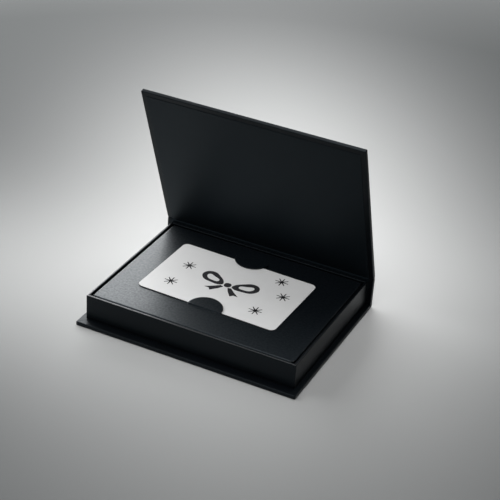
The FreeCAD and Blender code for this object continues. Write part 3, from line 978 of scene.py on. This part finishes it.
# The card and its print
def card_sheet():
    """Card with round corners and a softened cut edge."""
    half = Vector((sizes().card_length / 2, sizes().card_width / 2))
    radius = sizes().card_corner
    outline = []
    for quarter, (x, y) in enumerate(((1, 1), (-1, 1), (-1, -1), (1, -1))):
        centre = Vector((x * (half.x - radius), y * (half.y - radius)))
        for k in range(ROUND_STEPS + 1):
            angle = QUARTER * (quarter + k / ROUND_STEPS)
            outline.append(centre + radius * Vector((math.cos(angle), math.sin(angle))))
    surface = start_mesh()
    prism(surface, CARD, outline, (0.0, CARD_HIGH.z - CARD_LOW.z), False)
    card = finished("card_sheet", surface, card_plastic(), soften=sizes().card_edge)
    # The cut edge takes the dark edge finish, painted shade for the shadow line along the card
    card.data.materials.append(card_edge_shade())
    for polygon in card.data.polygons:
        if abs(polygon.normal.z) < EDGE_FACING:
            polygon.material_index = 1
    return card


# The print, in millimetres from the card's middle: five stars, and a bow's left side and knot
STAR_PLACES = ((-28.3, 6.5), (-28.9, -13.4), (24.1, 19.5), (31.8, 5.9), (25.1, -14.5))
BOW_LOOP = ((-3.0, 0.8), (-7.4, 5.8), (-13.4, 8.5), (-17.4, 5.6), (-16.2, 0.2), (-10.0, -2.1), (-3.0, -0.8))
BOW_EYE = ((-6.4, 1.3), (-10.6, 4.4), (-14.3, 5.0), (-14.0, 1.9), (-9.8, 0.2))
BOW_TAIL = (
    (-1.3, -2.5), (-3.0, -5.6), (-6.4, -9.7), (-7.8, -7.9), (-10.7, -7.9), (-6.6, -4.9), (-3.4, -2.0))
BOW_KNOT = ((-2.1, 0), (-1.4, 1.8), (1.4, 1.8), (2.1, 0), (1.4, -1.8), (-1.4, -1.8))
# Width of a ray's tip, as a share of the width at its foot
RAY_TIP_SHARE = 0.6


def ray_nodes(tree, source):
    """One tapered ray of a star, as thick as the ink and closed on all sides."""
    outline = {
        "Height": source["Reach"],
        "Bottom Width": source["Width"],
        "Top Width": maths(tree, "MULTIPLY", source["Width"], RAY_TIP_SHARE),
        "Offset": 0.0,
    }
    stroke = add(tree, "GeometryNodeCurvePrimitiveQuadrilateral", outline, mode="TRAPEZOID").outputs[0]
    shift = add(tree, "ShaderNodeCombineXYZ", {"Y": maths(tree, "DIVIDE", source["Reach"], 2.0)}).outputs[0]
    moved = add(tree, "GeometryNodeTransform", {"Geometry": stroke, "Translation": shift}).outputs[0]
    flat = add(tree, "GeometryNodeFillCurve", {"Curve": moved}, mode="NGONS").outputs[0]
    film = {"Mesh": flat, "Offset Scale": source["Film"]}
    raised = add(tree, "GeometryNodeExtrudeMesh", film, mode="FACES").outputs["Mesh"]
    under = add(tree, "GeometryNodeFlipFaces", {"Mesh": flat}).outputs[0]
    joined = add(tree, "GeometryNodeJoinGeometry")
    for half in (under, raised):
        tree.links.new(half, joined.inputs[0])
    merged = {"Geometry": joined.outputs[0], "Distance": MERGE}
    return add(tree, "GeometryNodeMergeByDistance", merged).outputs[0]


def copies(tree, inputs):
    """Real copies of a shape on the points of another."""
    spread = add(tree, "GeometryNodeInstanceOnPoints", inputs).outputs[0]
    return add(tree, "GeometryNodeRealizeInstances", {"Geometry": spread}).outputs[0]


def star_tree():
    """Geometry nodes that set a star of tapered rays on each point of a mesh."""
    tree = bpy.data.node_groups.new("line_stars", "GeometryNodeTree")
    sockets = (("Points", "Geometry"), ("Rays", "Int"), ("Reach", "Float"), ("Width", "Float"),
               ("Film", "Float"), ("Ink", "Material"))
    for label, kind in sockets:
        tree.interface.new_socket(label, in_out="INPUT", socket_type="NodeSocket" + kind)
    tree.interface.new_socket("Stars", in_out="OUTPUT", socket_type="NodeSocketGeometry")
    source = tree.nodes.new("NodeGroupInput").outputs
    hub = add(tree, "GeometryNodePoints", {"Count": source["Rays"]}).outputs[0]
    part = maths(tree, "DIVIDE", add(tree, "GeometryNodeInputIndex").outputs[0], source["Rays"])
    turn = add(tree, "ShaderNodeCombineXYZ", {"Z": maths(tree, "MULTIPLY", part, 4 * QUARTER)}).outputs[0]
    star = copies(tree, {"Points": hub, "Instance": ray_nodes(tree, source), "Rotation": turn})
    stars = copies(tree, {"Points": source["Points"], "Instance": star})
    inked = add(tree, "GeometryNodeSetMaterial", {"Geometry": stars, "Material": source["Ink"]}).outputs[0]
    tree.links.new(inked, tree.nodes.new("NodeGroupOutput").inputs[0])
    return tree


def printed(places, side=1):
    """Points given in millimetres, on either side of the card's middle."""
    return [Vector((side * x * MM, y * MM, 0)) for x, y in places]


def on_card(mesh):
    """Moves a print from the card's own axes onto its top."""
    mesh.transform(CARD @ Matrix.Translation((0, 0, CARD_HIGH.z - CARD_LOW.z)))
    return mesh


def print_stars():
    """Five line stars, spread by geometry nodes."""
    design = bpy.context.scene.holder_print
    points = bpy.data.meshes.new("star_points")
    points.from_pydata(printed(STAR_PLACES), [], [])
    holder = new_object("star_points", points)
    modifier = holder.modifiers.new("line_stars", "NODES")
    modifier.node_group = star_tree()
    values = {"Rays": design.star_rays, "Reach": design.star_reach, "Width": design.star_width,
              "Film": design.film, "Ink": card_ink()}
    for item in modifier.node_group.interface.items_tree:
        if item.in_out == "INPUT" and item.name in values:
            modifier[item.identifier] = values[item.name]
    return show("print_stars", on_card(settled(holder)), card_ink())


def closed_line(curve, points, handle):
    """One closed outline of a flat curve."""
    line = curve.splines.new("BEZIER")
    line.bezier_points.add(len(points) - 1)
    for knot, point in zip(line.bezier_points, points):
        knot.co = point
        knot.handle_left_type = handle
        knot.handle_right_type = handle
    line.use_cyclic_u = True


def print_bow():
    """A ribbon bow in the middle of the card."""
    half_film = bpy.context.scene.holder_print.film / 2
    curve = bpy.data.curves.new("bow_outline", "CURVE")
    curve.dimensions = "2D"
    curve.fill_mode = "BOTH"
    curve.extrude = half_film
    for side in (1, -1):
        closed_line(curve, printed(BOW_LOOP, side), "AUTO")
        closed_line(curve, printed(BOW_EYE, side), "AUTO")
        closed_line(curve, printed(BOW_TAIL, side), "VECTOR")
    closed_line(curve, printed(BOW_KNOT), "AUTO")
    mesh = settled(new_object("bow_outline", curve))
    mesh.transform(Matrix.Translation((0, 0, half_film)))
    return show("print_bow", on_card(mesh), card_ink())


# Floor: its half width and drop below the case, where its far tone begins and is full, and its surface
FLOOR_HALF = 12.0
FLOOR_DROP = 0.05 * MM
FLOOR_FAR = (0.45, 2.0)
FLOOR_ROUGHNESS = 0.8
FLOOR_SHINE = 0.1
# Painted pools of light on the floor: how they are turned, then the middle, reach and share of each
FLOOR_POOL_TURN = math.radians(26.6)
FLOOR_LIGHT_POOLS = (
    (Vector((-0.018, 0.103, 0)), Vector((0.128, 0.240, 1)), 0.82),
    (Vector((-0.138, -0.028, 0)), Vector((0.300, 0.093, 1)), 0.286),
)
# Soft boxes: where each one stands, then its width and height
LAMPS = {
    "window": (Vector((-0.8, 0.8, 0.42)), (1.4, 0.6)),
    "top": (Vector((-0.05, 0.45, 1.2)), (0.7, 0.7)),
    "front": (Vector((0.15, -0.55, 1.1)), (0.7, 0.7)),
    "side": (Vector((-0.95, -0.15, 0.6)), (0.8, 0.6)),
}
LAMP_TARGET = Vector((0, 0, 0.02))
# Camera: the width of its sensor in millimetres, and the nearest distance that it sees
SENSOR = 36.0
NEAREST = 10 * MM


def lamp(name, place, size, power):
    """A soft box that faces the case."""
    light = bpy.data.lights.new(name, "AREA")
    light.shape = "RECTANGLE"
    light.size, light.size_y = size
    light.energy = power
    holder = new_object(name, light)
    holder.location = place
    holder.rotation_euler = (LAMP_TARGET - place).to_track_quat("-Z", "Y").to_euler()


def from_middle(tree, place):
    """Distance of a place from the middle."""
    return add(tree, "ShaderNodeVectorMath", {0: place}, operation="LENGTH").outputs["Value"]


def painted_light_pool(tree, place, middle, reach, share):
    """Share of painted light in an oval that fades softly outwards."""
    oval = {"Vector": place, "Location": middle, "Rotation": (0, 0, FLOOR_POOL_TURN), "Scale": reach}
    inside = add(tree, "ShaderNodeMapping", oval, vector_type="TEXTURE").outputs["Vector"]
    square = maths(tree, "POWER", from_middle(tree, inside), 2.0)
    fade = maths(tree, "EXPONENT", maths(tree, "MULTIPLY", square, -1.0))
    return maths(tree, "MULTIPLY", fade, share)


def floor_finish():
    """Paper with a painted pool of light round the case, painted shade about it, and even and pale far off.
    """
    setup = bpy.context.scene.holder_studio
    material, tree, shader, place = blank_finish("studio_floor")
    # pale is the share of painted light; where it is low the floor takes the painted shade
    pale = 0.0
    for middle, reach, share in FLOOR_LIGHT_POOLS:
        pale = maths(tree, "ADD", painted_light_pool(tree, place, middle, reach, share), pale)
    near = blended(tree, pale, toned(setup.floor_painted_shade), toned(setup.floor_painted_light))
    far = ranged(tree, from_middle(tree, place), *FLOOR_FAR)
    set_inputs(tree, shader, {
        "Base Color": blended(tree, far, near, toned(setup.floor_far)),
        "Roughness": FLOOR_ROUGHNESS,
        "Specular IOR Level": FLOOR_SHINE,
    })
    return material


def studio_floor():
    """Wide flat floor just under the case."""
    surface = start_mesh()
    corners = [(-FLOOR_HALF, -FLOOR_HALF), (FLOOR_HALF, -FLOOR_HALF),
               (FLOOR_HALF, FLOOR_HALF), (-FLOOR_HALF, FLOOR_HALF)]
    face(surface, [put(surface, Vector((x, y, -FLOOR_DROP))) for x, y in corners], False)
    finished("studio_floor", surface, floor_finish())


def studio_world():
    """Even white light of the room."""
    world = bpy.data.worlds.new("studio_room")
    world.use_nodes = True
    bpy.context.scene.world = world
    background = world.node_tree.nodes["Background"]
    background.inputs["Color"].default_value = (1.0, 1.0, 1.0, 1.0)
    background.inputs["Strength"].default_value = bpy.context.scene.holder_studio.fill


def studio_camera():
    """Camera that looks down on the open case from the front right."""
    setup = bpy.context.scene.holder_studio
    camera = bpy.data.cameras.new("studio_camera")
    camera.lens = setup.lens
    camera.sensor_width = SENSOR
    camera.clip_start = NEAREST
    holder = new_object("studio_camera", camera)
    holder.location = setup.camera_place
    holder.rotation_euler = setup.camera_turn
    bpy.context.scene.camera = holder


# Operators
class HOLDER_OT_covers(bpy.types.Operator):
    """Makes the cover papers of the base, spine, hinge and lid"""

    bl_idname = "holder.covers"
    bl_label = "Cover Papers"

    def execute(self, context):
        base = panel_cover("base_cover", "base_wrap", BASE)
        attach(base, "case")
        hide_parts("base_wrap")
        spine = spine_cover()
        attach(spine, "case")
        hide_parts("spine_wrap")
        lid = panel_cover("lid_cover", "lid_wrap", LID)
        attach(lid, "lid")
        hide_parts("lid_wrap")
        hinge, start, end = hinge_cover(local_box("lid_wrap", LID)[1].z)
        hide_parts("hinge_wrap")
        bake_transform(hinge, "case", "lid", start=tuple(start), end=tuple(end))
        return {"FINISHED"}


class HOLDER_OT_linings(bpy.types.Operator):
    """Makes the lining papers of the spine, hinge and lid"""

    bl_idname = "holder.linings"
    bl_label = "Lining Papers"

    def execute(self, context):
        lid = lining_sheet("lid_lining", "lid_liner", LID)
        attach(lid, "lid")
        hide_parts("lid_liner")
        spine = lining_sheet("spine_lining", "spine_liner", Matrix.Identity(4))
        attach(spine, "case")
        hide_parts("spine_liner")
        hinge, start, end = hinge_lining(local_box("lid_wrap", LID)[1].z)
        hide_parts("hinge_liner")
        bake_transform(hinge, "case", "lid", start=tuple(start), end=tuple(end))
        return {"FINISHED"}


class HOLDER_OT_tray(bpy.types.Operator):
    """Makes the tray's cover paper"""

    bl_idname = "holder.tray"
    bl_label = "Tray Cover"

    def execute(self, context):
        tray = tray_cover()
        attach(tray, "case")
        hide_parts("tray_wrap")
        return {"FINISHED"}


class HOLDER_OT_platform(bpy.types.Operator):
    """Makes the folded platform and its two holding tabs"""

    bl_idname = "holder.platform"
    bl_label = "Platform and Tabs"

    def execute(self, context):
        platform = platform_sheet()
        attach(platform, "case")
        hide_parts("insert_platform")
        for name in ("front_tab", "rear_tab"):
            tab = holding_tab(name)
            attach(tab, name)
            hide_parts(name)
        return {"FINISHED"}


class HOLDER_OT_card(bpy.types.Operator):
    """Makes the card and the ornament printed on it"""

    bl_idname = "holder.card"
    bl_label = "Card and Print"

    def execute(self, context):
        card = card_sheet()
        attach(card, "card")
        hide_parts("gift_card")
        for ornament in (print_stars(), print_bow()):
            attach(ornament, "card")
        return {"FINISHED"}


class HOLDER_OT_core(bpy.types.Operator):
    """Gives the boards, corner stays and magnets their finishes"""

    bl_idname = "holder.core"
    bl_label = "Boards, Stays and Magnets"

    def execute(self, context):
        finishes = {"_board": grey_board(), "_stays": stay_tape(), "_magnets": magnet_plating()}
        for name, node in frame["nodes"].items():
            for ending, material in finishes.items():
                if name.endswith(ending):
                    node.data.materials.clear()
                    node.data.materials.append(material)
        return {"FINISHED"}


class HOLDER_OT_studio(bpy.types.Operator):
    """Sets up the floor, the lamps, the room's light and the camera"""

    bl_idname = "holder.studio"
    bl_label = "Studio"

    def execute(self, context):
        studio_floor()
        studio_world()
        for name, (place, size) in LAMPS.items():
            power = getattr(context.scene.holder_studio, name + "_power")
            lamp(name + "_lamp", place, size, power)
        studio_camera()
        context.scene.view_settings.view_transform = "Standard"
        return {"FINISHED"}


OPERATORS = (
    HOLDER_OT_covers,
    HOLDER_OT_linings,
    HOLDER_OT_tray,
    HOLDER_OT_platform,
    HOLDER_OT_card,
    HOLDER_OT_core,
    HOLDER_OT_studio,
)


class HOLDER_PT_panel(bpy.types.Panel):
    """Lists the steps and the values behind them"""

    bl_idname = "HOLDER_PT_panel"
    bl_label = "Gift Card Holder"
    bl_space_type = "VIEW_3D"
    bl_region_type = "UI"
    bl_category = "Gift Card Holder"

    def draw(self, context):
        for operator in OPERATORS:
            self.layout.operator(operator.bl_idname)
        for name, group in GROUPS.items():
            box = self.layout.box()
            for value in group.__annotations__:
                box.prop(getattr(context.scene, name), value)


CLASSES = (*GROUPS.values(), *OPERATORS, HOLDER_PT_panel)


def register():
    """Makes the classes and the scene's values known."""
    for item in CLASSES:
        bpy.utils.register_class(item)
    for name, group in GROUPS.items():
        setattr(bpy.types.Scene, name, PointerProperty(type=group))


def unregister():
    """Takes the scene's values and the classes away again."""
    for name in GROUPS:
        delattr(bpy.types.Scene, name)
    for item in reversed(CLASSES):
        bpy.utils.unregister_class(item)


def main():
    """Dresses the case."""
    register()
    bpy.ops.holder.studio()
    bpy.ops.holder.covers()
    bpy.ops.holder.linings()
    bpy.ops.holder.tray()
    bpy.ops.holder.platform()
    bpy.ops.holder.card()
    bpy.ops.holder.core()


if __name__ == "__main__":
    main()
